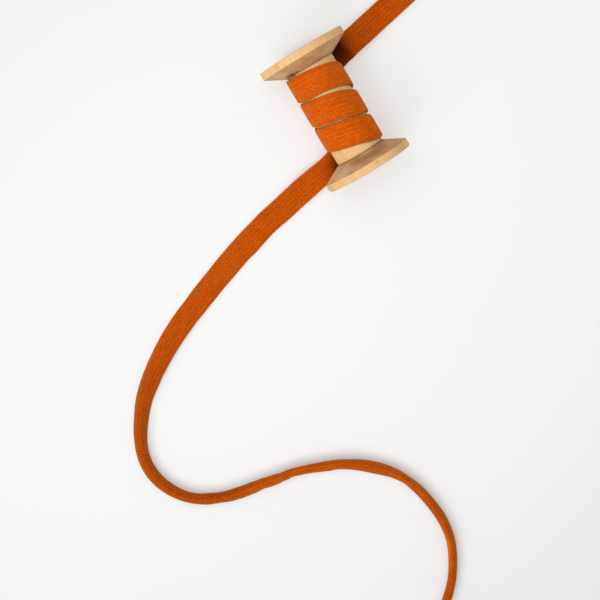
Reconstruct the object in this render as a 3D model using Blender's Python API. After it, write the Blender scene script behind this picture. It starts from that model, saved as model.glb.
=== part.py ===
# A turned wooden spool on its side, with a flat drawstring cord wound three times around its barrel
# and the cord's two loose ends lying on the table. The spool's axis is along Y, +Z is up, z = 0 is the table.
import bpy
import bmesh
import numpy as np

MM = 0.001

# Spool, mm
FLANGE_RADIUS = 22.6
SPOOL_LENGTH = 66.2
RIM_THICKNESS = 3.7
CONE_DEPTH = 5.4
BARREL_RADIUS = 12.35
BORE_RADIUS = 4.0
BORE_CHAMFER = 0.6
RIM_ROUNDING = 0.4
FLAT_WIDTH = 5.0
SPOOL_SEGMENTS = 96

# Cord, mm
CORD_WIDTH = 12.5
CORD_THICKNESS = 1.4
PIECE_GAP = 0.3
EDGE_POWER = 8
FOLD_ZONE = 0.15
STEPS_PER_TURN = 44
STEP_LENGTH = 5.0
WINDING_HALF_COLUMNS = 3
LOOSE_HALF_COLUMNS = 6

AXIS_HEIGHT = (FLANGE_RADIUS ** 2 - (FLAT_WIDTH / 2) ** 2) ** 0.5
WOUND_RADIUS = BARREL_RADIUS + PIECE_GAP + CORD_THICKNESS / 2
EXIT_HEIGHT = AXIS_HEIGHT - WOUND_RADIUS - CORD_THICKNESS / 2

# The winding, from the bottom of the barrel up its -X side and over: turns made, y and width in mm
WINDING = np.array([
    (0.000, 18.0, 11.2),
    (0.100, 17.8, 11.4),
    (0.250, 17.5, 12.2),
    (0.375, 16.9, 12.6),
    (0.500, 16.1, 12.2),
    (0.625, 14.2, 12.3),
    (0.750, 11.4, 11.7),
    (1.000, 6.1, 11.2),
    (1.250, 4.2, 12.4),
    (1.375, 3.2, 13.2),
    (1.500, 1.6, 13.2),
    (1.625, -1.2, 12.8),
    (1.750, -3.2, 11.5),
    (2.000, -6.2, 11.2),
    (2.250, -9.4, 12.3),
    (2.375, -10.7, 13.0),
    (2.500, -12.6, 13.2),
    (2.625, -15.2, 13.3),
    (2.750, -16.8, 11.7),
    (2.900, -17.3, 11.3),
    (3.000, -18.0, 11.2),
])

# The loose ends, from the barrel outwards, mm and degrees: x, y, height of the underside, width,
# fold along the middle, roll about the length
LONG_END = np.array([
    (-0.7, -18.0, EXIT_HEIGHT, 11.2, 0, 0),
    (-4.0, -18.3, 7.6, 11.4, 0, -11),
    (-8.0, -19.7, 5.9, 11.6, 0, -16),
    (-12.4, -22.0, 4.3, 11.9, 0, -17),
    (-18.5, -23.8, 3.2, 12.2, 0, -13),
    (-26.9, -25.4, 1.8, CORD_WIDTH, 0, -7),
    (-41.5, -28.3, 0.4, CORD_WIDTH, 10, -1),
    (-56.1, -31.3, 0.0, CORD_WIDTH, 24, 0),
    (-70.2, -35.0, 0.0, CORD_WIDTH, 14, 0),
    (-83.1, -38.9, 0.0, CORD_WIDTH, 22, 0),
    (-95.7, -43.3, 0.0, CORD_WIDTH, 34, 0),
    (-108.2, -47.9, 0.0, CORD_WIDTH, 42, 2),
    (-120.5, -52.7, 0.0, CORD_WIDTH, 50, 6),
    (-131.8, -58.0, 0.0, CORD_WIDTH, 60, 10),
    (-142.1, -63.9, 0.0, CORD_WIDTH, 73, 12),
    (-151.8, -70.5, 0.0, CORD_WIDTH, 86, 10),
    (-160.4, -77.7, 0.0, CORD_WIDTH, 108, 6),
    (-167.3, -85.9, 0.0, CORD_WIDTH, 121, 1),
    (-173.1, -94.7, 0.0, CORD_WIDTH, 134, -3),
    (-177.0, -105.1, 0.0, CORD_WIDTH, 139, -5),
    (-177.2, -115.8, 0.0, CORD_WIDTH, 138, -6),
    (-174.2, -125.1, 0.0, CORD_WIDTH, 143, -6),
    (-168.7, -133.3, 0.0, CORD_WIDTH, 151, -6),
    (-161.7, -139.0, 0.0, CORD_WIDTH, 149, -7),
    (-153.9, -142.7, 0.0, CORD_WIDTH, 151, -9),
    (-144.4, -145.6, 0.0, CORD_WIDTH, 143, -12),
    (-134.4, -147.3, 0.0, CORD_WIDTH, 146, -15),
    (-122.9, -149.3, 0.0, CORD_WIDTH, 154, -18),
    (-113.8, -150.6, 0.0, CORD_WIDTH, 166, -20),
    (-106.5, -152.9, 0.0, CORD_WIDTH, 166, -20),
    (-98.5, -156.2, 0.0, CORD_WIDTH, 155, -19),
    (-87.5, -161.6, 0.0, CORD_WIDTH, 155, -17),
    (-77.6, -169.3, 0.0, CORD_WIDTH, 141, -14),
    (-68.1, -179.9, 0.0, CORD_WIDTH, 156, -9),
    (-63.1, -191.1, 0.0, CORD_WIDTH, 158, -3),
    (-60.8, -201.7, 0.0, CORD_WIDTH, 157, 2),
    (-59.9, -213.2, 0.0, CORD_WIDTH, 157, 6),
    (-61.6, -225.0, 0.0, CORD_WIDTH, 164, 8),
    (-66.0, -235.1, 0.0, CORD_WIDTH, 165, 9),
    (-72.1, -244.8, 0.0, CORD_WIDTH, 166, 8),
    (-80.7, -254.0, 0.0, CORD_WIDTH, 160, 7),
    (-91.0, -262.8, 0.0, CORD_WIDTH, 146, 5),
    (-103.9, -269.9, 0.0, CORD_WIDTH, 130, 3),
    (-117.9, -275.5, 0.0, CORD_WIDTH, 112, 2),
])
SHORT_END = np.array([
    (0.9, 18.0, EXIT_HEIGHT, 11.2, 0, 0),
    (5.0, 18.5, 8.6, 11.4, 0, 0),
    (10.0, 19.8, 7.6, 11.7, 0, 2),
    (15.0, 21.5, 6.4, 12.0, 0, 3),
    (20.0, 23.0, 5.1, 12.4, 0, 3),
    (30.7, 25.2, 2.6, CORD_WIDTH, 0, 3),
    (42.6, 27.6, 0.8, CORD_WIDTH, 8, 1),
    (54.4, 29.9, 0.0, CORD_WIDTH, 12, 0),
    (66.1, 32.3, 0.0, CORD_WIDTH, 6, 0),
    (74.6, 34.0, 0.0, CORD_WIDTH, 0, 0),
    (83.1, 35.8, 0.0, CORD_WIDTH, 0, 0),
    (91.5, 37.5, 0.0, CORD_WIDTH, 0, 0),
    (99.8, 39.2, 0.0, CORD_WIDTH, 0, 0),
    (107.9, 41.0, 0.0, CORD_WIDTH, 0, 0),
    (116.1, 42.9, 0.0, CORD_WIDTH, 0, 0),
])

WOOD_COLOUR = (0.62, 0.36, 0.17, 1.0)
CORD_COLOUR = (0.48, 0.08, 0.01, 1.0)


def smooth_table(knots, values, at):
    # Cubic curve through the rows, with the slope at each row taken from its two neighbours
    slopes = np.gradient(values, knots, axis=0)
    row = np.clip(np.searchsorted(knots, at, side="right") - 1, 0, len(knots) - 2)
    span = (knots[row + 1] - knots[row])[:, None]
    t = (at - knots[row])[:, None] / span
    start, end = values[row], values[row + 1]
    return ((2 * t ** 3 - 3 * t ** 2 + 1) * start + (t ** 3 - 2 * t ** 2 + t) * span * slopes[row]
            + (3 * t ** 2 - 2 * t ** 3) * end + (t ** 3 - t ** 2) * span * slopes[row + 1])


def band_section(width, fold, roll, half_columns):
    # Closed outline of the flat cord's section, (across, up) pairs: the middle line turns by the fold
    # inside its middle zone, and the thickness rounds off to the two edges
    across = np.sin(np.linspace(-0.5, 0.5, 2 * half_columns + 1) * np.pi) / 2
    turn = np.clip(across / FOLD_ZONE, -1, 1)
    fine = np.linspace(-0.5, 0.5, 401)
    heading = np.radians(roll + fold / 2 * np.clip(fine / FOLD_ZONE, -1, 1))
    steps = width / 400 * np.stack([np.cos(heading), -np.sin(heading)])
    line = np.cumsum(steps, axis=1) - steps / 2
    middle = np.stack([np.interp(across, fine, axis) for axis in line], axis=1)
    heading = np.radians(roll + fold / 2 * turn)
    normal = np.stack([np.sin(heading), np.cos(heading)], axis=1)
    half = CORD_THICKNESS / 2 * np.sqrt(1 - np.abs(2 * across) ** EDGE_POWER)[:, None]
    return np.concatenate([middle + half * normal, (middle - half * normal)[-2:0:-1]])


def solid_from_rings(name, rings, material):
    # One closed body through equal rings of points, with a flat cap on the first and the last
    count, ring_size = rings.shape[:2]
    bm = bmesh.new()
    rows = [[bm.verts.new(point * MM) for point in ring] for ring in rings]
    for near, far in zip(rows, rows[1:]):
        for k in range(ring_size):
            n = (k + 1) % ring_size
            bm.faces.new((near[k], near[n], far[n], far[k]))
    bm.faces.new(rows[0])
    bm.faces.new(rows[-1][::-1])
    return finish_body(name, bm, material)


def finish_body(name, bm, material):
    bmesh.ops.recalc_face_normals(bm, faces=bm.faces)
    mesh = bpy.data.meshes.new(name)
    bm.to_mesh(mesh)
    bm.free()
    mesh.materials.append(material)
    body = bpy.data.objects.new(name, mesh)
    bpy.context.collection.objects.link(body)
    return body


def plain_material(name, colour, roughness):
    material = bpy.data.materials.new(name)
    material.use_nodes = True
    shader = material.node_tree.nodes["Principled BSDF"]
    shader.inputs["Base Color"].default_value = colour
    shader.inputs["Roughness"].default_value = roughness
    return material


def make_spool():
    # Lathe profile from the bore round one flange, the barrel and the other flange, (y, radius) pairs,
    # then both rims are cut flat at the table
    end = SPOOL_LENGTH / 2
    rim_inner = end - RIM_THICKNESS
    barrel_end = rim_inner - CONE_DEPTH
    half = [
        (end - BORE_CHAMFER, BORE_RADIUS),
        (end, BORE_RADIUS + BORE_CHAMFER),
        (end, FLANGE_RADIUS - RIM_ROUNDING),
        (end - RIM_ROUNDING, FLANGE_RADIUS),
        (rim_inner + RIM_ROUNDING / 2, FLANGE_RADIUS),
        (rim_inner - RIM_ROUNDING / 4, FLANGE_RADIUS - RIM_ROUNDING / 2),
        (barrel_end, BARREL_RADIUS),
    ]
    profile = half + [(-y, radius) for y, radius in half[::-1]]
    angles = np.arange(SPOOL_SEGMENTS) * 2 * np.pi / SPOOL_SEGMENTS
    bm = bmesh.new()
    rows = [[bm.verts.new((radius * np.cos(a) * MM, y * MM, (AXIS_HEIGHT + radius * np.sin(a)) * MM))
             for a in angles] for y, radius in profile]
    for near, far in zip(rows, rows[1:] + rows[:1]):
        for k in range(SPOOL_SEGMENTS):
            n = (k + 1) % SPOOL_SEGMENTS
            bm.faces.new((near[k], near[n], far[n], far[k]))
    bmesh.ops.bisect_plane(bm, geom=bm.verts[:] + bm.edges[:] + bm.faces[:], plane_co=(0, 0, 0),
                           plane_no=(0, 0, -1), clear_outer=True)
    bmesh.ops.holes_fill(bm, edges=[edge for edge in bm.edges if edge.is_boundary])
    return finish_body("spool", bm, plain_material("turned_wood", WOOD_COLOUR, 0.55))


def make_winding(material):
    # The band's section stands on the barrel and is swept along the table's helix
    turns = np.linspace(0, WINDING[-1, 0], round(WINDING[-1, 0] * STEPS_PER_TURN) + 1)
    y, width = smooth_table(WINDING[:, 0], WINDING[:, 1:], turns).T
    angles = -np.pi / 2 - 2 * np.pi * turns
    outward = np.stack([np.cos(angles), 0 * angles, np.sin(angles)], axis=1)
    centre = outward * WOUND_RADIUS + np.stack([0 * y, y, 0 * y + AXIS_HEIGHT], axis=1)
    along = np.gradient(centre, axis=0)
    side = np.cross(along, outward)
    side /= np.linalg.norm(side, axis=1)[:, None]
    rings = []
    for k in range(len(turns)):
        section = band_section(width[k], 0, 0, WINDING_HALF_COLUMNS)
        section -= section.mean(axis=0)
        rings.append(centre[k] + section[:, :1] * side[k] + section[:, 1:] * outward[k])
    return solid_from_rings("winding", np.array(rings), material)


def make_loose_end(name, route, material):
    # The section is swept along the route with its lowest point at the table's height of the underside
    lengths = np.concatenate([[0], np.cumsum(np.linalg.norm(np.diff(route[:, :2], axis=0), axis=1))])
    at = np.linspace(0, lengths[-1], round(lengths[-1] / STEP_LENGTH) + 1)
    x, y, underside, width, fold, roll = smooth_table(lengths, route, at).T
    along = np.stack([np.gradient(x), np.gradient(y)], axis=1)
    along /= np.linalg.norm(along, axis=1)[:, None]
    rings = []
    for k in range(len(at)):
        section = band_section(width[k], max(fold[k], 0), roll[k], LOOSE_HALF_COLUMNS)
        low, high = section.min(axis=0), section.max(axis=0)
        across = section[:, 0] - (low[0] + high[0]) / 2
        up = section[:, 1] - low[1] + max(underside[k], 0)
        rings.append(np.stack([x[k] + across * along[k, 1], y[k] - across * along[k, 0], up], axis=1))
    return solid_from_rings(name, np.array(rings), material)


for leftover in list(bpy.data.objects):
    bpy.data.objects.remove(leftover, do_unlink=True)

cord_material = plain_material("cotton_cord", CORD_COLOUR, 0.9)
make_spool()
make_winding(cord_material)
make_loose_end("long_end", LONG_END, cord_material)
make_loose_end("short_end", SHORT_END, cord_material)
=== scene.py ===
import bpy
import numpy as np
from mathutils import Matrix, Vector


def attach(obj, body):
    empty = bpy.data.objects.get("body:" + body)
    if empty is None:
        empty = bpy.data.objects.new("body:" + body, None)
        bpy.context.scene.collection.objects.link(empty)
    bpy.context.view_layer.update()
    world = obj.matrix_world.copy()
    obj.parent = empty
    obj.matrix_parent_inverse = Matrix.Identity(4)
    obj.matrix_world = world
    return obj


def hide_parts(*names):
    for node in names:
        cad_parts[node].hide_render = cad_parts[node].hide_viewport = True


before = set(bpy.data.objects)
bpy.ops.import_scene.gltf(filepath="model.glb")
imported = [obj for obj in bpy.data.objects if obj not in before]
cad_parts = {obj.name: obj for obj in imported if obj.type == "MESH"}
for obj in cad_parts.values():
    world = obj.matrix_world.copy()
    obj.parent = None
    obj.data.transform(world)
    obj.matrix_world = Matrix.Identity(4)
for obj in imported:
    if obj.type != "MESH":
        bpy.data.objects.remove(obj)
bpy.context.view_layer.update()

mm = 0.001

# Camera: nearly straight above, turned with the photo
photoCamera = {
    "place": (-0.0228, 0.0144, 0.6429),
    "aim": (-0.0641, -0.0745, 0.0),     # the table point in the picture's middle
    "turn": 30.94,                      # degrees from +Y to the picture's up
    "lens": 75.87,
}


def addCamera(look):
    # The camera's back points from the aim to its place; its right is level with the picture's up
    place, aim = Vector(look["place"]), Vector(look["aim"])
    turn = np.radians(look["turn"])
    ahead = (aim - place).normalized()
    right = ahead.cross(Vector((np.sin(turn), np.cos(turn), 0))).normalized()
    up = right.cross(ahead)
    data = bpy.data.cameras.new("photoCamera")
    data.lens = look["lens"]
    data.sensor_width = 36
    data.clip_end = 20
    camera = bpy.data.objects.new("photoCamera", data)
    camera.matrix_world = Matrix.Translation(place) @ Matrix((right, up, -ahead)).transposed().to_4x4()
    bpy.context.collection.objects.link(camera)
    bpy.context.scene.camera = camera


addCamera(photoCamera)
print("camera placed")

# Cord: one flat knitted tube in three pieces, on the part's own routes
spoolShape = {
    "flangeRadius": 22.6, "length": 66.2, "rim": 3.7, "cone": 5.4, "barrelRadius": 12.35, "bore": 4.0,
    "flat": 5.0,                        # width of the flats that the rims stand on
}
axisHeight = (spoolShape["flangeRadius"] ** 2 - (spoolShape["flat"] / 2) ** 2) ** 0.5
cordLook = {
    "width": 12.5, "thickness": 1.4,    # mm
    "gap": 0.3,                         # mm to the barrel
    "foldZone": 0.15,                   # share of the width to each side of the middle over which it folds
    "edgePower": 8,                     # how square the section's edges are
    "columns": 13,                      # columns of stitches over one face
    "stitch": 1.72,                     # mm from stitch to stitch along the cord
    "slant": 0.9,                       # how far a stitch leans, in stitches
    "columnShift": 0.12,                # stitches by which every other column is moved along
    "humpPower": 0.6,                   # how square a stitch is across its column
    "relief": 0.16, "reliefMiddle": 0.75,    # mm that a stitch stands up, and the share of it below the face
    "weakColumn": 0.85,                 # relief of every other column
    "scallop": 0.07, "scallopPower": 12,    # mm that the edge goes in and out, and how soon it fades inwards
    "widthDrift": 0.10, "rollDrift": 1.2,    # mm and degrees by which the cord wavers along its length
    "calmStart": 25.0,                  # mm from the spool over which a loose end starts to waver
    "calmRate": 6,                      # the wound cord does so within a turn divided by this
    "deepest": 0.92,                    # the strongest painted shade
    "edgeShade": 0.35, "edgeShadePower": 14,    # painted shade along the edges of the turns, and how narrow it is
}
clothMapScale = 0.01                    # units of the cloth map to a mm of cord
fineSteps = 240                         # steps across the cord when its fold is worked out
woundRadius = spoolShape["barrelRadius"] + cordLook["gap"] + cordLook["thickness"] / 2
exitHeight = axisHeight - woundRadius - cordLook["thickness"] / 2
full = cordLook["width"]

# Each row: turns made, y, width
windingTable = np.array([
    (0.000, 18.0, 11.2), (0.100, 17.8, 11.4), (0.250, 17.5, 12.2), (0.375, 16.9, 12.6), (0.500, 16.1, 12.2),
    (0.625, 14.2, 12.3), (0.750, 11.4, 11.7), (1.000, 6.1, 11.2), (1.250, 4.2, 12.4), (1.375, 3.2, 13.2),
    (1.500, 1.6, 13.2), (1.625, -1.2, 12.8), (1.750, -3.2, 11.5), (2.000, -6.2, 11.2), (2.250, -9.4, 12.3),
    (2.375, -10.7, 13.0), (2.500, -12.6, 13.2), (2.625, -15.2, 13.3), (2.750, -16.8, 11.7),
    (2.900, -17.3, 11.3), (3.000, -18.0, 11.2),
])
# Each row: x, y, height of the underside, width, fold along the middle, roll about the length; mm and degrees
longTable = np.array([
    (-0.7, -18.0, exitHeight, 11.2, 0, 0), (-4.0, -18.3, 7.6, 11.4, 0, -11),
    (-8.0, -19.7, 5.9, 11.6, 0, -16), (-12.4, -22.0, 4.3, 11.9, 0, -17), (-18.5, -23.8, 3.2, 12.2, 0, -13),
    (-26.9, -25.4, 1.8, full, 0, -7), (-41.5, -28.3, 0.4, full, 10, -1), (-56.1, -31.3, 0.0, full, 24, 0),
    (-70.2, -35.0, 0.0, full, 14, 0), (-83.1, -38.9, 0.0, full, 22, 0), (-95.7, -43.3, 0.0, full, 34, 0),
    (-108.2, -47.9, 0.0, full, 42, 2), (-120.5, -52.7, 0.0, full, 50, 6),
    (-131.8, -58.0, 0.0, full, 60, 10), (-142.1, -63.9, 0.0, full, 73, 12),
    (-151.8, -70.5, 0.0, full, 86, 10), (-160.4, -77.7, 0.0, full, 108, 6),
    (-167.3, -85.9, 0.0, full, 121, 1), (-173.1, -94.7, 0.0, full, 134, -3),
    (-177.0, -105.1, 0.0, full, 139, -5), (-177.2, -115.8, 0.0, full, 138, -6),
    (-174.2, -125.1, 0.0, full, 143, -6), (-168.7, -133.3, 0.0, full, 151, -6),
    (-161.7, -139.0, 0.0, full, 149, -7), (-153.9, -142.7, 0.0, full, 151, -9),
    (-144.4, -145.6, 0.0, full, 143, -12), (-134.4, -147.3, 0.0, full, 146, -15),
    (-122.9, -149.3, 0.0, full, 154, -18), (-113.8, -150.6, 0.0, full, 166, -20),
    (-106.5, -152.9, 0.0, full, 166, -20), (-98.5, -156.2, 0.0, full, 155, -19),
    (-87.5, -161.6, 0.0, full, 155, -17), (-77.6, -169.3, 0.0, full, 141, -14),
    (-68.1, -179.9, 0.0, full, 156, -9), (-63.1, -191.1, 0.0, full, 158, -3),
    (-60.8, -201.7, 0.0, full, 157, 2), (-59.9, -213.2, 0.0, full, 157, 6),
    (-61.6, -225.0, 0.0, full, 164, 8), (-66.0, -235.1, 0.0, full, 165, 9),
    (-72.1, -244.8, 0.0, full, 166, 8), (-80.7, -254.0, 0.0, full, 160, 7),
    (-91.0, -262.8, 0.0, full, 146, 5), (-103.9, -269.9, 0.0, full, 130, 3),
    (-117.9, -275.5, 0.0, full, 112, 2),
])
shortTable = np.array([
    (0.9, 18.0, exitHeight, 11.2, 0, 0), (5.0, 18.5, 8.6, 11.4, 0, 0), (10.0, 19.8, 7.6, 11.7, 0, 2),
    (15.0, 21.5, 6.4, 12.0, 0, 3), (20.0, 23.0, 5.1, 12.4, 0, 3), (30.7, 25.2, 2.6, full, 0, 3),
    (42.6, 27.6, 0.8, full, 8, 1), (54.4, 29.9, 0.0, full, 12, 0), (66.1, 32.3, 0.0, full, 6, 0),
    (74.6, 34.0, 0.0, full, 0, 0), (83.1, 35.8, 0.0, full, 0, 0), (91.5, 37.5, 0.0, full, 0, 0),
    (99.8, 39.2, 0.0, full, 0, 0), (107.9, 41.0, 0.0, full, 0, 0), (116.1, 42.9, 0.0, full, 0, 0),
])

# Painted light, and kinks from handling, by mm along each loose end. "tuck" and "shade" give the painted shade
# where the cord is shut away from light, "tuck" where it runs in under the spool. A streak or a kink is a bell
# curve along the cord. Places run from -0.5 at the left edge to 0.5, and pushes are mm to the right.
longPaintedLightAndKinks = {
    "tuck": [(0, 1.0), (14, 0.57), (16, 0.40), (19, 0.22), (23, 0.08), (28, 0.0)],
    "tuckTilt": 2.0,                    # how much stronger it is on the left edge
    "shade": [(105, 0.0), (150, 0.13), (180, 0.20), (240, 0.20), (263, 0.11), (281, 0.03), (300, 0.08),
              (345, 0.09), (400, 0.09), (420, 0.22)],
    # Each streak: at, length, place, width, painted shade, which is below 0 for a painted highlight
    "streaks": [(160, 26, 0.42, 0.13, -0.20), (258, 14, -0.22, 0.16, 0.30), (399, 14, 0.07, 0.030, -0.60),
                (352, 12, 0.06, 0.05, -0.15), (362, 10, -0.08, 0.05, -0.20)],
    # Each kink: at, length, push of the left edge, push of the right edge
    "kinks": [(50, 5, -0.20, -0.18), (60, 4, 0.15, 0.15), (74, 2.5, -0.20, 0.0), (80, 2.5, 0.15, 0.0),
              (117, 3, 0.0, -0.18), (247.5, 2.5, -0.25, 0.10), (258, 3, 0.0, 0.18),
              (276.6, 2.3, -0.10, -0.46), (287, 1.6, 0.35, -0.22), (292.6, 2.2, 0.0, -0.34),
              (308, 2.0, 0.22, 0.05), (317, 3.5, -0.10, -0.28), (342, 6.0, 0.0, 0.22),
              (355, 3.4, 0.24, -0.34)],
}
shortPaintedLightAndKinks = {
    "tuck": [(0, 1.0), (13, 0.90), (19, 0.87), (20.5, 0.60), (22, 0.36), (23.5, 0.22), (26, 0.12),
             (30, 0.08), (37, 0.05), (50, 0.0)],
    "tuckTilt": 0.5,
    "shade": [(0, 0.0)],
    "streaks": [],
    "kinks": [(20, 3, 0.0, 0.18)],
}


def alongTable(knots, values, at):
    # A cubic between each two rows, whose slope at a row is taken from the rows beside it
    slopes = np.gradient(values, knots, axis=0)
    row = np.clip(np.searchsorted(knots, at, side="right") - 1, 0, len(knots) - 2)
    span = (knots[row + 1] - knots[row])[:, None]
    t = (at - knots[row])[:, None] / span
    return ((2 * t ** 3 - 3 * t ** 2 + 1) * values[row] + (t ** 3 - 2 * t ** 2 + t) * span * slopes[row]
            + (3 * t ** 2 - 2 * t ** 3) * values[row + 1] + (t ** 3 - t ** 2) * span * slopes[row + 1])


def stitchHeight(along, column):
    # Leaning ovals in columns: a cosine along the cord, shifted by its lean across the column and turned
    # over in every other column, times a hump across the column; every other column is lower
    inside = column - np.floor(column)
    odd = np.floor(column) % 2
    lean = (1 - 2 * odd) * cordLook["slant"] * (inside - 0.5) + odd * cordLook["columnShift"]
    hump = np.sin(np.pi * inside) ** cordLook["humpPower"] * np.where(odd == 0, 1, cordLook["weakColumn"])
    return (0.5 + 0.5 * np.cos(2 * np.pi * (along / cordLook["stitch"] + lean))) * hump


def faceColumns(detail):
    # Places across the cord, -0.5 to 0.5: so many to a column on the upper face, half as many on the lower
    # one, and closer at the two edges
    inner = np.arange(1, detail * cordLook["columns"]) / (detail * cordLook["columns"]) - 0.5
    edge = np.array([-0.5, -0.498, -0.492])
    upper = np.concatenate([edge, inner, -edge[::-1]])
    lower = np.concatenate([edge[1:], inner[1::2], -edge[:0:-1]])[::-1]
    return upper, lower


def ringSurface(name, points, along, across, shade):
    # Closed tube through equal rings of points with a cap at both ends. The cloth map holds the place along
    # and across the cord, and each point its painted shade, up to 1 where light is shut out, and below 0 a
    # painted highlight.
    count, size = points.shape[:2]
    index = np.arange(count * size).reshape(count, size)
    turned = np.roll(index, -1, axis=1)
    walls = np.stack([index[:-1], turned[:-1], turned[1:], index[1:]], axis=-1).reshape(-1, 4)
    nextAcross = np.roll(across, -1)
    nextAcross[-1] = across[-1] + (across[-1] - across[-2])
    wallU = np.stack([along[:-1], along[:-1], along[1:], along[1:]], axis=-1)[:, None].repeat(size, axis=1)
    wallV = np.stack([across, nextAcross, nextAcross, across], axis=-1)[None].repeat(count - 1, axis=0)
    capU = np.concatenate([np.full(size, along[0]), np.full(size, along[-1])])
    capV = np.concatenate([across[::-1], across])
    faces = walls.tolist() + [index[0, ::-1].tolist(), index[-1].tolist()]
    mesh = bpy.data.meshes.new(name)
    mesh.from_pydata((points.reshape(-1, 3) * mm).tolist(), [], faces)
    cloth = mesh.uv_layers.new(name="clothMap")
    onMap = np.stack([np.concatenate([wallU.ravel(), capU]), np.concatenate([wallV.ravel(), capV])], axis=1)
    cloth.data.foreach_set("uv", (onMap * clothMapScale).ravel())
    mesh.attributes.new("shade", "FLOAT", "POINT").data.foreach_set("value", shade.ravel())
    mesh.polygons.foreach_set("use_smooth", np.ones(len(faces), dtype=bool))
    mesh.update()
    piece = bpy.data.objects.new(name, mesh)
    bpy.context.collection.objects.link(piece)
    return piece


def sectionTurn(roll, fold, places):
    # The section's slope in radians at each place across it: the roll, plus half the fold times the place
    # over the fold zone, held to -1 and 1
    return np.radians(roll[:, None] + fold[:, None] / 2 * np.clip(places / cordLook["foldZone"], -1, 1))


def bandRings(width, fold, roll, travelled, upper, lower, way=1):
    # The middle line across the cord is the running sum of small steps along the section's slope. Both faces
    # lie half the thickness off it, rounded off to the edges, with the stitches standing up from them. The
    # way is -1 where the cord runs back, so that its columns are counted from the other edge.
    slope = sectionTurn(roll, fold, np.linspace(-0.5, 0.5, fineSteps + 1))
    stepSize = (width / fineSteps)[:, None]
    lineX = np.cumsum(np.cos(slope), axis=1) * stepSize
    lineZ = np.cumsum(-np.sin(slope), axis=1) * stepSize
    scallop = cordLook["scallop"] * np.cos(2 * np.pi * travelled[:, None] / cordLook["stitch"])
    sides = []
    for places, facing in ((upper, 1), (lower, -1)):
        spot = np.clip((places + 0.5) * fineSteps, 0, fineSteps - 0.001)
        low = spot.astype(int)
        share = spot - low
        x = lineX[:, low] * (1 - share) + lineX[:, low + 1] * share
        z = lineZ[:, low] * (1 - share) + lineZ[:, low + 1] * share
        turn = sectionTurn(roll, fold, places)
        rounding = np.sqrt(np.maximum(1 - np.abs(2 * places) ** cordLook["edgePower"], 0))
        stitch = stitchHeight(travelled[:, None], (way * places + 0.5)[None] * cordLook["columns"])
        raised = cordLook["relief"] * (stitch - cordLook["reliefMiddle"])
        off = facing * rounding * (cordLook["thickness"] / 2 + raised)
        edgeOut = np.sign(places) * np.abs(2 * places) ** cordLook["scallopPower"] * scallop
        sides.append(np.stack([x + off * np.sin(turn) + edgeOut * np.cos(turn),
                               z + off * np.cos(turn) - edgeOut * np.sin(turn)], axis=-1))
    return np.concatenate(sides, axis=1)


def unevenness(travelled, seed, size):
    # Sum of slow sine waves of unrelated lengths in mm, each with its weight, the seed moving them along
    waves = ((7.3, 0.5), (11.9, 0.8), (19.7, 1.0), (31.0, 0.9))
    total = sum(weight * np.sin(2 * np.pi * travelled / wave + seed * (k + 1.7))
                for k, (wave, weight) in enumerate(waves))
    return size * total / 2


def bell(at, middle, length):
    # 1 at the middle, falling off with the square of the distance from it over the length
    return np.exp(-((at - middle) / length) ** 2)


def paintedLightAndShade(marks, at, places):
    # Painted shade, and painted highlight below 0: the tuck, stronger to the left, plus the shade along the
    # cord, plus for each streak its strength times its bell along the cord times its bell across
    tuck = np.interp(at, *np.array(marks["tuck"]).T)[:, None] * (1 - marks["tuckTilt"] * places)
    shade = np.clip(tuck, 0, cordLook["deepest"]) + np.interp(at, *np.array(marks["shade"]).T)[:, None]
    for middle, length, place, width, strength in marks["streaks"]:
        shade = shade + strength * bell(at, middle, length)[:, None] * bell(places, place, width)
    return np.clip(shade, -1, cordLook["deepest"])


def pushed(marks, at, across, half):
    # Each kink moves the left and the right edge by a bell curve along the cord, and what lies between in
    # proportion
    side = np.clip(across / half, -1, 1)
    for middle, length, left, right in marks["kinks"]:
        across = across + bell(at, middle, length)[:, None] * (left * (1 - side) + right * (1 + side)) / 2
    return across


def looseEnd(name, table, marks, seed, startAlong, direction, detail):
    # The section carried along the table's route, level and square to its heading, with its lowest point at
    # the table's height. Gives the piece and its middle line in metres.
    lengths = np.concatenate([[0], np.cumsum(np.linalg.norm(np.diff(table[:, :2], axis=0), axis=1))])
    at = np.append(np.arange(0, lengths[-1] - 0.1, cordLook["stitch"] / detail), lengths[-1])
    x, y, underside, width, fold, roll = alongTable(lengths, table, at).T
    fade = np.clip(at / cordLook["calmStart"], 0, 1)
    width = width + unevenness(at, seed, cordLook["widthDrift"]) * fade
    roll = roll + unevenness(at, seed + 2, cordLook["rollDrift"]) * fade
    heading = np.stack([np.gradient(x), np.gradient(y)], axis=1)
    heading /= np.linalg.norm(heading, axis=1)[:, None]
    upper, lower = faceColumns(detail)
    travelled = startAlong + direction * at
    rings = bandRings(width, np.maximum(fold, 0), roll, travelled, upper, lower, direction)
    low, high = rings.min(axis=1), rings.max(axis=1)
    across = pushed(marks, at, rings[..., 0] - ((low + high) / 2)[:, :1], ((high - low) / 2)[:, :1])
    up = rings[..., 1] - low[:, 1:] + np.maximum(underside, 0)[:, None]
    points = np.stack([x[:, None] + across * heading[:, 1:], y[:, None] - across * heading[:, :1], up],
                      axis=-1)
    places = np.concatenate([upper, lower])
    shade = paintedLightAndShade(marks, at, places)
    piece = ringSurface(name, points, travelled, direction * places * cordLook["width"], shade)
    path = np.stack([x, y, (up.min(axis=1) + up.max(axis=1)) / 2], axis=1)
    return piece, path * mm


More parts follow.
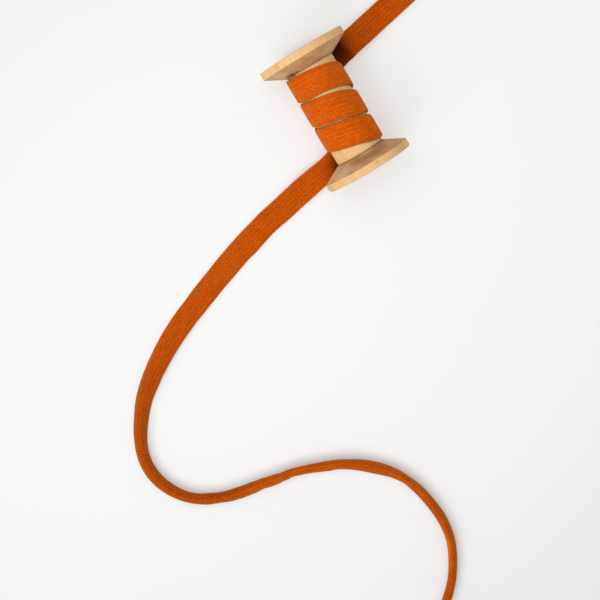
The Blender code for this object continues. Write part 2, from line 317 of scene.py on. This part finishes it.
def woundBand(table, detail):
    # The flat section standing on the barrel and carried along the table's helix: outward is the radius at
    # the angle turned, and side is square to it and to the route. Gives the piece and the mm wound.
    rounds = table[-1, 0] * 2 * np.pi * woundRadius
    turns = np.linspace(0, table[-1, 0], round(rounds / (cordLook["stitch"] / detail)) + 1)
    y, width = alongTable(table[:, 0], table[:, 1:], turns).T
    angle = -np.pi / 2 - 2 * np.pi * turns
    outward = np.stack([np.cos(angle), 0 * angle, np.sin(angle)], axis=1)
    centre = outward * woundRadius + np.stack([0 * y, y, 0 * y + axisHeight], axis=1)
    along = np.gradient(centre, axis=0)
    travelled = np.concatenate([[0], np.cumsum(np.linalg.norm(np.diff(centre, axis=0), axis=1))])
    side = np.cross(along, outward)
    side /= np.linalg.norm(side, axis=1)[:, None]
    upper, lower = faceColumns(detail)
    fade = np.clip(np.minimum(turns, table[-1, 0] - turns) * cordLook["calmRate"], 0, 1)
    width = width + unevenness(travelled, 4, cordLook["widthDrift"]) * fade
    rings = bandRings(width, 0 * turns, 0 * turns, travelled, upper, lower)
    rings = rings - rings.mean(axis=1)[:, None]
    points = centre[:, None] + rings[..., :1] * side[:, None] + rings[..., 1:] * outward[:, None]
    places = np.concatenate([upper, lower])
    # Painted shade along the edges of each turn
    shade = cordLook["edgeShade"] * np.abs(2 * places) ** cordLook["edgeShadePower"] + 0 * turns[:, None]
    return ringSurface("woundCord", points, travelled, places * cordLook["width"], shade), travelled[-1]


# The last number of each call is the steps to a stitch and to a column
woundCord, woundLength = woundBand(windingTable, 5)
longCord, longPath = looseEnd("longCord", longTable, longPaintedLightAndKinks, 1, woundLength, 1, 4)
shortCord, shortPath = looseEnd("shortCord", shortTable, shortPaintedLightAndKinks, 3, 0, -1, 6)
for piece, node in ((woundCord, "winding"), (longCord, "long_end"), (shortCord, "short_end")):
    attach(piece, "root")
    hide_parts(node)
print("cord made, wound length", round(woundLength, 1))

# Spool: turned from one piece of pale wood
spoolFinish = {
    "edgeRound": 0.45,                  # mm, the rims' outer edges
    "innerRound": 0.3,                  # mm, where rim meets cone
    "boreRound": 0.6,                   # mm, where the bore meets the end faces
    "score": 0.22,                      # mm, depth of the turner's score where cone meets barrel
    "toolMarks": 0.012,                 # mm, height of the turning marks
    "rimWobble": 0.035, "wobble": 0.02,    # mm, unevenness of the rims, and of the whole
    "segments": 288,
    "contactReach": 0.65,               # mm beside the cord over which painted shade darkens the wood
    "contactFade": 2.2,                 # how fast that fades away from the cord
    "contactHeight": 0.8,               # mm above the barrel up to which it is seen
    "jointPlace": 0.1,                  # mm from the barrel's end to the darkest line of the joint
    "jointReach": 0.32,                 # mm beside that line over which the wood darkens
    "jointHeight": 0.6,                 # mm above the barrel up to which it does
    "upperJoint": 0.90,                 # how dark the joint at +Y is beside the one at -Y
}


def roundedCorner(before, corner, after, radius, steps=5):
    # Points of a curve that leaves one side of a corner and joins the other: a quadratic through the corner
    before, corner, after = np.array(before), np.array(corner), np.array(after)
    start = corner + (before - corner) / np.linalg.norm(before - corner) * radius
    end = corner + (after - corner) / np.linalg.norm(after - corner) * radius
    t = np.linspace(0, 1, steps)[:, None]
    return (1 - t) ** 2 * start + 2 * t * (1 - t) * corner + t ** 2 * end


def spoolProfile(shape, finish):
    # Half the lathe profile, (distance from the middle, radius), from the bore to the middle of the barrel:
    # straight runs with a curve at each corner
    end = shape["length"] / 2
    rimInner = end - shape["rim"]
    barrelEnd = rimInner - shape["cone"]
    radius, barrel, bore = shape["flangeRadius"], shape["barrelRadius"], shape["bore"]
    boreCorner, rimCorner = (end, bore), (end, radius)
    innerCorner, foot = (rimInner, radius), (barrelEnd, barrel)
    score = finish["score"]
    return np.concatenate([
        [(end - 6, bore), (end - 3, bore)],
        roundedCorner((0, bore), boreCorner, rimCorner, finish["boreRound"]),
        [(end, r) for r in np.arange(6, 22, 1.0)],                              # end face
        roundedCorner(boreCorner, rimCorner, innerCorner, finish["edgeRound"]),
        [(y, radius) for y in np.linspace(end - 0.8, rimInner + 0.6, 8)],       # rim
        roundedCorner(rimCorner, innerCorner, foot, finish["innerRound"]),
        [(rimInner - shape["cone"] * t, radius - (radius - barrel) * t) for t in np.linspace(0.05, 0.91, 34)],
        [(barrelEnd + 0.34, barrel + 0.52), (barrelEnd + 0.20, barrel + 0.46),
         (barrelEnd + 0.10, barrel + 0.16), (barrelEnd + 0.02, barrel - score * 0.7),
         (barrelEnd - 0.10, barrel - score), (barrelEnd - 0.26, barrel - score * 0.5),
         (barrelEnd - 0.4, barrel)],                                            # score
        [(y, barrel) for y in np.linspace(barrelEnd - 0.8, 0.2, 58)],           # barrel
    ])


def facesAlong(profile):
    # How far each row of the profile faces along the axis, 0 to 1: the run in radius over the run's length
    run = np.roll(profile, -1, axis=0) - np.roll(profile, 1, axis=0)
    return np.abs(run[:, 1]) / np.maximum(np.hypot(run[:, 0], run[:, 1]), 1e-6)


def cordContactShade(y, angle, radius):
    # Painted shade on the barrel beside the cord's turns, 0 to 1: 1 minus the least distance outside a turn's
    # edge over the reach, raised to a power
    first = ((-np.pi / 2 - angle) / (2 * np.pi)) % 1
    outside = np.full(np.broadcast(y, angle).shape, np.inf)
    for passed in range(int(windingTable[-1, 0])):
        middle, width = alongTable(windingTable[:, 0], windingTable[:, 1:], (first + passed)).T
        outside = np.minimum(outside, np.abs(y - middle) - width / 2)
    reach = np.clip(1 - outside / spoolFinish["contactReach"], 0, 1) ** spoolFinish["contactFade"]
    return np.where(radius < spoolShape["barrelRadius"] + spoolFinish["contactHeight"], reach, 0.0)


def jointShade(y, radius, shape, finish):
    # How dark each joint of cone and barrel is, 0 to 1: a bell curve along the axis around its darkest line
    barrelEnd = shape["length"] / 2 - shape["rim"] - shape["cone"]
    joint = bell(np.abs(y) - barrelEnd, finish["jointPlace"], finish["jointReach"])
    low = radius < shape["barrelRadius"] + finish["jointHeight"]
    return joint * low * np.where(y < 0, 1.0, finish["upperJoint"])


def turnedSpool(shape, finish):
    # The profile spun about the spool's axis, with low turning marks, a slightly uneven rim, and the rims cut
    # flat at the table
    half = spoolProfile(shape, finish)
    profile = np.concatenate([half, (half * (-1, 1))[::-1]])
    angle = np.arange(finish["segments"]) * 2 * np.pi / finish["segments"]
    y, radius = profile[:, 0][:, None], profile[:, 1][:, None]
    # The marks are a sum of two waves along the profile, of unrelated lengths
    outside = radius > shape["bore"] + 1
    marks = np.sin(y * 9.1 + 2.1 * np.sin(y * 1.3)) + 0.7 * np.sin(y * 17.3 + radius * 11.0)
    rimPart = np.clip((radius - 20) / 2, 0, 1)
    wobble = finish["rimWobble"] * np.sin(3 * angle + 0.4) * rimPart
    wobble = wobble + finish["wobble"] * np.sin(7 * angle + y)
    spun = radius + marks * finish["toolMarks"] + wobble * outside
    x, z = spun * np.cos(angle), axisHeight + spun * np.sin(angle)
    points = np.stack([x, y + 0 * x, np.maximum(z, 0)], axis=-1)
    rows, size = points.shape[:2]
    index = np.arange(rows * size).reshape(rows, size)
    turned = np.roll(index, -1, axis=1)
    nextRow, nextTurned = np.roll(index, -1, axis=0), np.roll(turned, -1, axis=0)
    faces = np.stack([index, turned, nextTurned, nextRow], axis=-1).reshape(-1, 4)
    mesh = bpy.data.meshes.new("turnedSpool")
    mesh.from_pydata((points.reshape(-1, 3) * mm).tolist(), [], faces.tolist())
    mesh.polygons.foreach_set("use_smooth", np.ones(len(faces), dtype=bool))
    crossCut = mesh.attributes.new("crossCut", "FLOAT", "POINT")
    crossCut.data.foreach_set("value", np.repeat(facesAlong(profile), size))
    # Painted shade beside the cord's turns, and the dark joints of cone and barrel
    cordShadeAndJoints = np.maximum(cordContactShade(y, angle, radius), jointShade(y, radius, shape, finish)) * outside
    mesh.attributes.new("cordShadeAndJoints", "FLOAT", "POINT").data.foreach_set("value", cordShadeAndJoints.ravel())
    mesh.update()
    piece = bpy.data.objects.new("turnedSpool", mesh)
    bpy.context.collection.objects.link(piece)
    return piece


turnedWoodSpool = turnedSpool(spoolShape, spoolFinish)
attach(turnedWoodSpool, "root")
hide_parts("spool")
print("spool turned")

# Materials
cordColours = {
    "light": (0.74, 0.126, 0.003), "dark": (0.37, 0.047, 0.001),
    "deep": (0.028, 0.0012, 0.0003),    # painted shade, where no light gets in
    "worn": (0.90, 0.24, 0.02),         # painted highlight, mostly along a fold's crest
    "woundLightGain": 1.20,                   # how much paler the wound cord is painted, as painted light on its turns round the barrel
    "weakColumn": 0.60,                 # contrast of every other column: lower for the yarn's twist, and as painted shade on legs leaning away from the light
    "floorShare": 0.20, "stitchShare": 0.66,    # share of light colour between stitches, and added on them
    "singleShare": 0.30, "fibreShare": 0.50,    # differences from stitch to stitch and along the fibres
    "stray": 0.5, "strayRate": 0.55,    # stitches by which the pattern strays, and how often per mm
    "stitchRange": (0.0, 0.55),         # height of a stitch from where to where it gets paler
    "fibre": {"along": 1.2, "lean": 5, "across": 7, "rate": 1.6},    # how fine the fibres are each way
    "patchShare": 0.14, "patchRate": 0.12, "patchRange": (0.35, 0.75),    # darker patches
    "roughness": 0.9, "specular": 0.03,
    "sheen": 0.22, "sheenRoughness": 0.5, "sheenTint": (1.0, 0.85, 0.20, 1.0),
    "reliefDepth": 0.00006,             # m, for the finest unevenness of stitches and fibres
}
woodColours = {
    "pale": (0.885, 0.555, 0.25), "grain": (0.70, 0.405, 0.165), "pore": (0.38, 0.21, 0.09),
    # Cross-cut wood: darker as end grain is, and further darker as painted shade on the cones
    "endPale": (0.65, 0.37, 0.165), "endGrain": (0.33, 0.165, 0.060),
    "cordShadeAndJoints": (0.17, 0.04, 0.002), "cordShadeAndJointsShare": 0.65,    # painted shade beside the cord, and the dark joints
    "roughness": 0.55, "specular": 0.22,
    "pith": (-38.0, 0.0, -24.0),        # mm from the spool's middle to the middle of the tree's rings
    "ringGap": 2.1, "ringDrift": 5,     # mm, and how many rings they wander by
    # How often per mm each pattern varies in x, y and z
    "patterns": {
        "drift": (0.05, 0.012, 0.05), "fibre": (2.6, 0.16, 2.6), "streak": (0.8, 0.04, 0.8),
        "cloud": (0.16, 0.07, 0.16), "pore": (3.4, 0.6, 3.4), "speck": (1.8, 1.0, 1.8),
        "fray": (1.3, 1.3, 1.3),
    },
    "brush": (1.9, 0.10, 0.10),         # the same for the turning marks on cross-cut wood, in radius, x and z
    "grooves": 3.5,                     # the same for the fine grooves
    "grooveDepth": 0.00004, "fibreDepth": 0.00006,    # m
    # How much each pattern adds to the darker colour along the grain and on cross-cut wood, and from where
    "along": {"ring": 0.20, "fibre": 0.8, "fibreStart": -0.25, "streak": 0.7},
    "crossCut": {
        "ring": 0.15, "brush": 1.5, "brushStart": -0.55, "speck": 0.8, "cloud": 1.6, "cloudStart": -0.85,
    },
    "poreRange": (0.64, 0.74), "poreShare": 0.6,
    "cloudRange": (0.42, 0.72), "cloudShare": 0.45,
    "crossCutRange": (0.25, 0.85),      # how far a face looks along the axis, from grain to cross-cut wood
    "spotRange": (1.0, 0.3), "fray": 1.1,    # radii where a spot starts and is full, and how frayed it is
    # Each spot: x, y, z from the spool's middle, radius in mm, strength, colour
    "spots": [
        ((-9.9, 24.9, 9.4), 3.2, 0.75, (0.20, 0.13, 0.07)),
        ((-12.2, 24.4, 4.6), 2.2, 0.6, (0.16, 0.11, 0.06)),
        ((3.5, -30.9, 22.4), 1.3, 0.35, (0.42, 0.24, 0.10)),
        ((-8.5, -18.4, 8.9), 0.45, 0.6, (0.25, 0.13, 0.05)),
        ((-6.0, -20.4, 10.8), 0.4, 0.6, (0.25, 0.13, 0.05)),
        ((-1.2, -26.2, 16.1), 6.0, 0.72, (0.34, 0.16, 0.05)),
        ((4.8, -26.3, 15.6), 6.0, 0.84, (0.34, 0.16, 0.05)),
        ((-5.0, -25.8, 14.4), 5.0, 0.40, (0.34, 0.16, 0.05)),
        ((8.2, -25.6, 12.6), 5.0, 0.50, (0.34, 0.16, 0.05)),
        ((9.5, -27.5, 16.0), 5.0, 0.40, (0.42, 0.23, 0.11)),
        ((-14.0, 31.5, 17.7), 2.0, 0.35, (0.50, 0.28, 0.12)),
        ((-12.0, -28.3, 15.0), 7.5, 0.55, (0.67, 0.44, 0.25)),
        ((-15.5, 27.6, 12.3), 6.0, 0.55, (0.68, 0.47, 0.30)),
        ((15.0, -28.6, 15.0), 3.0, 0.50, (0.42, 0.25, 0.12)),
        ((-16.0, -31.5, 15.6), 4.5, 0.85, (0.80, 0.45, 0.17)),
        ((2.5, -20.5, 12.0), 8.0, 0.60, (0.91, 0.595, 0.315)),
        ((17.5, -31.5, 14.0), 4.0, 0.45, (0.72, 0.42, 0.18)),
        ((16.5, 31.5, 15.5), 4.0, 0.45, (0.78, 0.44, 0.17)),
        ((-11.6, 24.7, 8.8), 1.6, 0.90, (0.06, 0.04, 0.022)),
        ((-9.3, 24.7, 10.4), 1.9, 0.88, (0.07, 0.04, 0.02)),
        ((-6.8, 24.6, 11.8), 1.7, 0.80, (0.10, 0.06, 0.03)),
        ((-3.8, 24.7, 13.2), 2.6, 0.14, (0.30, 0.15, 0.06)),
        ((-0.8, 24.7, 13.6), 2.6, 0.14, (0.30, 0.15, 0.06)),
        ((2.3, 24.8, 13.6), 2.6, 0.24, (0.26, 0.13, 0.05)),
        ((5.5, 24.9, 12.9), 2.6, 0.28, (0.26, 0.13, 0.05)),
        ((-1.5, 26.4, 15.6), 8.0, 0.10, (0.38, 0.21, 0.09)),
        # These four are painted shade where the last turn meets the -Y cone, on the side away from the light
        ((12.4, -24.2, -0.6), 2.2, 0.90, (0.06, 0.03, 0.01)),
        ((11.8, -24.2, 4.6), 2.0, 0.75, (0.10, 0.05, 0.02)),
        ((10.0, -24.2, 8.2), 1.6, 0.60, (0.16, 0.08, 0.03)),
        ((7.0, -24.2, 10.8), 1.5, 0.45, (0.20, 0.10, 0.04)),
    ],
    # A dark line on the upper side of the +Y cone: x at the rim, run in x for each mm of radius, half its
    # width, and the y over which it starts and ends
    "crack": {
        "x": -1.6, "lean": 0.205, "width": 0.28, "strength": 0.55, "start": (23.9, 24.4), "end": (29.6, 29.0),
    },
}


class NodeBench:
    # Short calls for laying nodes. Each gives the socket that carries its result.
    def __init__(self, name):
        self.material = bpy.data.materials.new(name)
        self.material.use_nodes = True
        self.tree = self.material.node_tree
        self.shader = self.tree.nodes["Principled BSDF"]

    def feed(self, socket, value):
        if isinstance(value, bpy.types.NodeSocket):
            self.tree.links.new(value, socket)
        elif value is not None:
            socket.default_value = value

    def math(self, operation, first, second=None, third=None, clamp=False):
        node = self.tree.nodes.new("ShaderNodeMath")
        node.operation, node.use_clamp = operation, clamp
        for socket, value in zip(node.inputs, (first, second, third)):
            self.feed(socket, value)
        return node.outputs[0]

    def swing(self, value, amount):
        # How far a value lies from a half, times the amount
        return self.math("MULTIPLY", self.math("SUBTRACT", value, 0.5), amount)

    def hypot(self, first, second):
        # The square root of the sum of both squares
        squares = self.math("ADD", self.math("MULTIPLY", first, first), self.math("MULTIPLY", second, second))
        return self.math("SQRT", squares)

    def attribute(self, name):
        node = self.tree.nodes.new("ShaderNodeAttribute")
        node.attribute_name = name
        return node.outputs["Fac"]

    def objectPlace(self):
        return self.tree.nodes.new("ShaderNodeTexCoord").outputs["Object"]

    def split(self, vector):
        node = self.tree.nodes.new("ShaderNodeSeparateXYZ")
        self.feed(node.inputs[0], vector)
        return node.outputs

    def length(self, vector):
        node = self.tree.nodes.new("ShaderNodeVectorMath")
        node.operation = "LENGTH"
        self.feed(node.inputs[0], vector)
        return node.outputs["Value"]

    def join(self, x, y, z):
        node = self.tree.nodes.new("ShaderNodeCombineXYZ")
        for socket, value in zip(node.inputs, (x, y, z)):
            self.feed(socket, value)
        return node.outputs[0]

    def noise(self, vector, scale, detail=2.0, roughness=0.5):
        node = self.tree.nodes.new("ShaderNodeTexNoise")
        values = {"Vector": vector, "Scale": scale, "Detail": detail, "Roughness": roughness}
        for key, value in values.items():
            self.feed(node.inputs[key], value)
        return node.outputs[0]

    def random(self, first, second):
        node = self.tree.nodes.new("ShaderNodeTexWhiteNoise")
        node.noise_dimensions = "2D"
        self.feed(node.inputs["Vector"], self.join(first, second, 0))
        return node.outputs[0]

    def place(self, vector, shift=(0, 0, 0), scale=(1, 1, 1)):
        node = self.tree.nodes.new("ShaderNodeMapping")
        self.feed(node.inputs["Vector"], vector)
        node.inputs["Location"].default_value = shift
        node.inputs["Scale"].default_value = scale
        return node.outputs[0]

    def blend(self, share, first, second):
        node = self.tree.nodes.new("ShaderNodeMix")
        node.data_type = "RGBA"
        self.feed(node.inputs[0], share)
        for socket, value in ((node.inputs[6], first), (node.inputs[7], second)):
            self.feed(socket, (*value, 1.0) if isinstance(value, tuple) else value)
        return node.outputs[2]

    def ramp(self, value, low, high):
        # 0 at low, 1 at high and smooth between them, whichever of the two is greater
        node = self.tree.nodes.new("ShaderNodeMapRange")
        node.interpolation_type = "SMOOTHSTEP"
        self.feed(node.inputs["Value"], value)
        node.inputs["From Min"].default_value = low
        node.inputs["From Max"].default_value = high
        return node.outputs[0]

    def bump(self, height, distance, strength=1.0, under=None):
        node = self.tree.nodes.new("ShaderNodeBump")
        node.inputs["Strength"].default_value = strength
        node.inputs["Distance"].default_value = distance
        self.feed(node.inputs["Height"], height)
        if under is not None:
            self.feed(node.inputs["Normal"], under)
        return node.outputs[0]

    def finish(self, colour, roughness, specular, relief):
        # Fills the shader's main sockets and gives the material
        values = {"Base Color": colour, "Roughness": roughness, "Specular IOR Level": specular, "Normal": relief}
        for key, value in values.items():
            self.feed(self.shader.inputs[key], value)
        return self.material


def knittedCotton(name, look, gain):
    # The stitches' own formula again on the cloth map, for painted shade between them and the fibres on them
    bench = NodeBench(name)
    clothMap = bench.tree.nodes.new("ShaderNodeUVMap")
    clothMap.uv_map = "clothMap"
    along, across, _ = bench.split(bench.place(clothMap.outputs[0], scale=[1 / clothMapScale] * 3))
    columns = cordLook["columns"]
    column = bench.math("MULTIPLY_ADD", across, columns / cordLook["width"], columns / 2)
    inside = bench.math("FRACT", column)
    halved = bench.math("MULTIPLY", bench.math("FLOOR", column), 0.5)
    odd = bench.math("MULTIPLY", bench.math("FRACT", halved), 2)
    side = bench.math("SUBTRACT", 1, bench.math("MULTIPLY", odd, 2))
    shift = bench.math("MULTIPLY", odd, cordLook["columnShift"])
    slant = bench.math("MULTIPLY", side, cordLook["slant"])
    lean = bench.math("MULTIPLY_ADD", slant, bench.math("SUBTRACT", inside, 0.5), shift)
    stray = bench.noise(bench.join(along, across, 0), look["strayRate"], 2)
    phase = bench.math("MULTIPLY_ADD", along, 1 / cordLook["stitch"], lean)
    phase = bench.math("ADD", phase, bench.swing(stray, look["stray"]))
    wave = bench.math("COSINE", bench.math("MULTIPLY", phase, 2 * np.pi))
    wave = bench.math("MULTIPLY_ADD", wave, 0.5, 0.5)
    hump = bench.math("SINE", bench.math("MULTIPLY", inside, np.pi))
    stitch = bench.math("MULTIPLY", wave, bench.math("POWER", hump, cordLook["humpPower"]))
    strength = bench.math("MULTIPLY_ADD", odd, look["weakColumn"] - 1, 1)
    single = bench.random(bench.math("FLOOR", bench.math("ADD", phase, 0.5)), bench.math("FLOOR", column))
    fine = look["fibre"]
    fibreLine = bench.math("MULTIPLY", across, fine["across"])
    fibreLine = bench.math("ADD", bench.math("MULTIPLY", lean, fine["lean"]), fibreLine)
    fibrePlace = bench.join(bench.math("MULTIPLY", along, fine["along"]), fibreLine, 0)
    fibre = bench.noise(fibrePlace, fine["rate"], 3, 0.6)
    patch = bench.noise(bench.join(along, across, 0), look["patchRate"], 2)
    raised = bench.math("MULTIPLY", bench.ramp(stitch, *look["stitchRange"]), strength)
    share = bench.math("MULTIPLY_ADD", raised, look["stitchShare"], look["floorShare"])
    share = bench.math("ADD", share, bench.swing(single, look["singleShare"]))
    share = bench.math("ADD", share, bench.swing(fibre, look["fibreShare"]), clamp=True)
    base = bench.blend(share, tuple(c * gain for c in look["dark"]), tuple(c * gain for c in look["light"]))
    patch = bench.math("MULTIPLY", bench.ramp(patch, *look["patchRange"]), look["patchShare"])
    shaded = bench.blend(patch, base, look["dark"])
    # The shade attribute: painted shade towards the deep colour, and below 0 painted highlight towards the pale
    # one
    shade = bench.attribute("shade")
    shaded = bench.blend(bench.math("MAXIMUM", bench.math("MULTIPLY", shade, -1), 0), shaded, look["worn"])
    shaded = bench.blend(bench.math("MAXIMUM", shade, 0), shaded, look["deep"])
    bench.shader.inputs["Sheen Weight"].default_value = look["sheen"]
    bench.shader.inputs["Sheen Roughness"].default_value = look["sheenRoughness"]
    bench.shader.inputs["Sheen Tint"].default_value = look["sheenTint"]
    relief = bench.bump(fibre, look["reliefDepth"], 0.6, bench.bump(stitch, look["reliefDepth"]))
    return bench.finish(shaded, look["roughness"], look["specular"], relief)


def turnedWood(look):
    # Rings round a pith outside the spool, fibres and pores drawn out along the axis, and tool marks round it
    bench = NodeBench("turnedWood")
    spot = bench.place(bench.objectPlace(), shift=(0, 0, -axisHeight), scale=[1 / mm] * 3)
    x, y, z = bench.split(spot)
    radius = bench.hypot(x, z)

    def pattern(kind, detail, roughness=0.5):
        return bench.noise(bench.place(spot, scale=look["patterns"][kind]), 1.0, detail, roughness)

    # Along the grain: rings, fibres and streaks, then clouds, then pores
    pithX, _, pithZ = look["pith"]
    pithDistance = bench.hypot(bench.math("SUBTRACT", x, pithX), bench.math("SUBTRACT", z, pithZ))
    wander = bench.math("MULTIPLY", pattern("drift", 2), look["ringDrift"])
    ringPlace = bench.math("ADD", bench.math("DIVIDE", pithDistance, look["ringGap"]), wander)
    ring = bench.math("POWER", bench.math("FRACT", ringPlace), 3)
    fibre = pattern("fibre", 4, 0.6)
    part = look["along"]
    fibrous = bench.math("MULTIPLY_ADD", fibre, part["fibre"], part["fibreStart"])
    grainShare = bench.math("ADD", bench.math("MULTIPLY", ring, part["ring"]), fibrous)
    grainShare = bench.math("ADD", grainShare, bench.swing(pattern("streak", 2), part["streak"]), clamp=True)
    wood = bench.blend(grainShare, look["pale"], look["grain"])
    cloud = pattern("cloud", 3)
    cloudy = bench.math("MULTIPLY", bench.ramp(cloud, *look["cloudRange"]), look["cloudShare"])
    wood = bench.blend(cloudy, wood, look["grain"])
    pores = bench.math("MULTIPLY", bench.ramp(pattern("pore", 1), *look["poreRange"]), look["poreShare"])
    wood = bench.blend(pores, wood, look["pore"])

    # Across the grain: rings, turning marks, specks and clouds, where a face looks along the axis; its darker
    # colours are partly painted shade on the cones
    brushed = bench.noise(bench.place(bench.join(radius, x, z), scale=look["brush"]), 1.0, 3, 0.6)
    part = look["crossCut"]
    brushed = bench.math("MULTIPLY_ADD", brushed, part["brush"], part["brushStart"])
    endShare = bench.math("ADD", bench.math("MULTIPLY", ring, part["ring"]), brushed)
    endShare = bench.math("ADD", endShare, bench.swing(pattern("speck", 3, 0.7), part["speck"]))
    clouded = bench.math("MULTIPLY_ADD", cloud, part["cloud"], part["cloudStart"])
    endShare = bench.math("ADD", endShare, clouded, clamp=True)
    endWood = bench.blend(endShare, look["endPale"], look["endGrain"])
    wood = bench.blend(bench.ramp(bench.attribute("crossCut"), *look["crossCutRange"]), wood, endWood)

    frayed = bench.swing(pattern("fray", 3, 0.7), look["fray"])
    for place, reach, strength, colour in look["spots"]:
        apart = bench.length(bench.place(spot, shift=tuple(-v for v in place)))
        patch = bench.ramp(bench.math("ADD", bench.math("DIVIDE", apart, reach), frayed), *look["spotRange"])
        wood = bench.blend(bench.math("MULTIPLY", patch, strength), wood, colour)

    crack = look["crack"]
    atAxis = crack["x"] - crack["lean"] * spoolShape["flangeRadius"]
    line = bench.math("SUBTRACT", x, bench.math("MULTIPLY_ADD", radius, crack["lean"], atAxis))
    line = bench.ramp(bench.math("ABSOLUTE", line), crack["width"], 0.0)
    onTop = bench.math("MULTIPLY", bench.ramp(y, *crack["end"]), bench.ramp(z, 0, 1))
    onCone = bench.math("MULTIPLY", bench.ramp(y, *crack["start"]), onTop)
    dark = bench.math("MULTIPLY", bench.math("MULTIPLY", line, onCone), crack["strength"])
    wood = bench.blend(dark, wood, look["pore"])
    # Painted shade beside the cord's turns, and the dark joints
    wood = bench.blend(bench.math("MULTIPLY", bench.attribute("cordShadeAndJoints"), look["cordShadeAndJointsShare"]), wood, look["cordShadeAndJoints"])

    grooves = bench.noise(bench.join(0, y, radius), look["grooves"], 2)
    relief = bench.bump(fibre, look["fibreDepth"], 0.6, bench.bump(grooves, look["grooveDepth"], 0.7))
    return bench.finish(wood, look["roughness"], look["specular"], relief)


looseCotton = knittedCotton("looseCotton", cordColours, 1.0)
# The wound cord gets a paler copy of the cloth, as painted light
litWoundCotton = knittedCotton("litWoundCotton", cordColours, cordColours["woundLightGain"])
wood = turnedWood(woodColours)
woundCord.data.materials.append(litWoundCotton)
for piece in (longCord, shortCord):
    piece.data.materials.append(looseCotton)
turnedWoodSpool.data.materials.append(wood)
print("materials made")

# Table and light: a white sheet with a soft glow of its own, painted light darkened around what lies on it as
# painted shadow, a broad light above, one over the picture's lower left, and a white room
studio = {
    "sheetColour": (0.49, 0.49, 0.49),
    "sheetSize": 6.0,                   # m
    "roughness": 0.8, "specular": 0.2,
    "speckles": 900.0, "speckleDepth": 0.00003,    # how often per m, and m
    "glowColour": (1.0, 1.0, 0.985),
    "glow": 0.463, "glowFall": (0.43, 1.41),    # the painted light's strength, and its fall with distance squared in x and y
    "glowMiddle": (0.084, -0.056, 0.0),
    "glowEdge": 0.30,                   # the least strength
    "contactReach": 0.0055,             # m around what lies on the sheet over which its glow is shut out, as painted shadow
    "contactLean": (-0.69, -0.17, 0.71),    # the way in which what lies there shuts out most, so the painted shadow falls on its far side
    "contactPower": 0.72,               # how strongly it is shut out
    "contactSamples": 8,
    "roomStrength": 0.43,
}
softLights = {
    "overheadLight": {"place": (-0.07, 0.13, 0.55), "width": 0.50, "power": 1.38},
    "leftLight": {"place": (-0.55, -0.30, 0.60), "width": 0.70, "power": 2.68},
}


def whiteSheet(look):
    # Its glow is painted light: the strength less the fall times the distance squared each way, at least the
    # edge's, times the share of its surroundings that is open, raised to a power, which paints shadow around
    # what lies on it
    half = look["sheetSize"] / 2
    mesh = bpy.data.meshes.new("whiteSheet")
    corners = [(-half, -half, 0), (half, -half, 0), (half, half, 0), (-half, half, 0)]
    mesh.from_pydata(corners, [], [(0, 1, 2, 3)])
    bench = NodeBench("litSheet")
    spot = bench.objectPlace()
    x, y, _ = bench.split(bench.place(spot, shift=tuple(-v for v in look["glowMiddle"])))
    fallX, fallY = look["glowFall"]
    glow = bench.math("MULTIPLY_ADD", bench.math("MULTIPLY", x, x), -fallX, look["glow"])
    glow = bench.math("MULTIPLY_ADD", bench.math("MULTIPLY", y, y), -fallY, glow)
    glow = bench.math("MAXIMUM", glow, look["glowEdge"])
    # Painted shadow: the glow is dimmed by how closed the sheet's surroundings are
    contact = bench.tree.nodes.new("ShaderNodeAmbientOcclusion")
    contact.inputs["Distance"].default_value = look["contactReach"]
    bench.feed(contact.inputs["Normal"], bench.join(*look["contactLean"]))
    contact.samples = look["contactSamples"]
    glow = bench.math("MULTIPLY", glow, bench.math("POWER", contact.outputs["AO"], look["contactPower"]))
    bench.shader.inputs["Emission Color"].default_value = (*look["glowColour"], 1.0)
    bench.feed(bench.shader.inputs["Emission Strength"], glow)
    relief = bench.bump(bench.noise(spot, look["speckles"], 3), look["speckleDepth"], 0.5)
    colour = (*look["sheetColour"], 1.0)
    mesh.materials.append(bench.finish(colour, look["roughness"], look["specular"], relief))
    sheet = bpy.data.objects.new("whiteSheet", mesh)
    bpy.context.collection.objects.link(sheet)


def addSoftLight(name, look):
    # A round light turned to the frame's origin
    data = bpy.data.lights.new(name, "AREA")
    data.shape, data.size, data.energy = "DISK", look["width"], look["power"]
    light = bpy.data.objects.new(name, data)
    light.location = look["place"]
    light.rotation_euler = (-Vector(look["place"])).to_track_quat("-Z", "Y").to_euler()
    bpy.context.collection.objects.link(light)


whiteSheet(studio)
for name, look in softLights.items():
    addSoftLight(name, look)
room = bpy.data.worlds.new("whiteRoom")
room.use_nodes = True
room.node_tree.nodes["Background"].inputs["Color"].default_value = (1, 1, 1, 1)
room.node_tree.nodes["Background"].inputs["Strength"].default_value = studio["roomStrength"]
bpy.context.scene.world = room
bpy.context.scene.view_settings.view_transform = "Standard"
print("table and light set")
